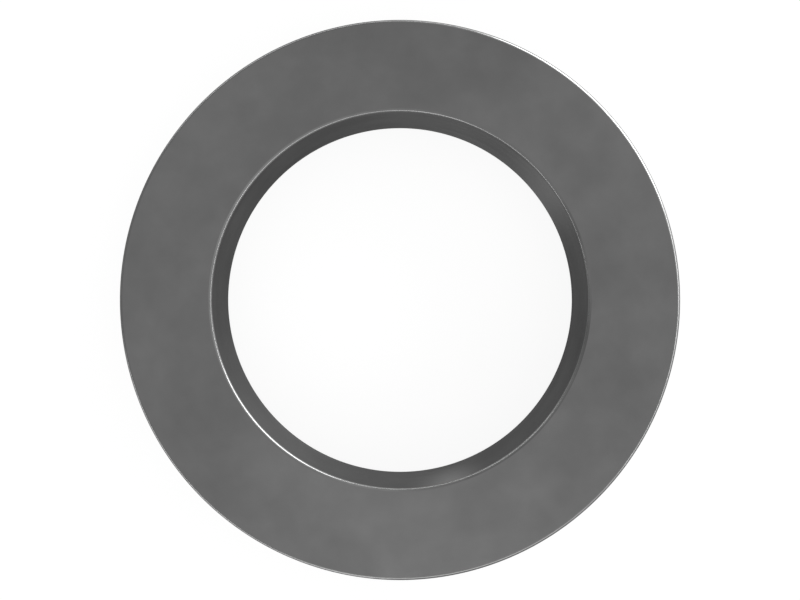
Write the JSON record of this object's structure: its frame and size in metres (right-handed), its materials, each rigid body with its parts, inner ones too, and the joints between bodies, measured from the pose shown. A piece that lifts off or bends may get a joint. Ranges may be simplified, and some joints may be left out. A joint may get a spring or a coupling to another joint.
{
  "type": "conical spring washer",
  "caption": "Closed conical spring washer: a coned steel ring with a turned bore and rounded edges that springs flat under a bolt head.",
  "frame": {"origin": "on the washer's axis, in the plane of the outer foot that it stands on", "axes": "+Z along the axis, out of the convex side towards the bolt head; the ring is the same at every turn about Z"},
  "size_m": [0.032, 0.032, 0.0043],
  "materials": {
    "spring_steel": "tumbled grey spring steel with a dull sheen and faint cloudy mottling, brighter on the rounded edges"
  },
  "bodies": {
    "root": {"spring_washer": "spring_steel"}
  },
  "joints": []
}
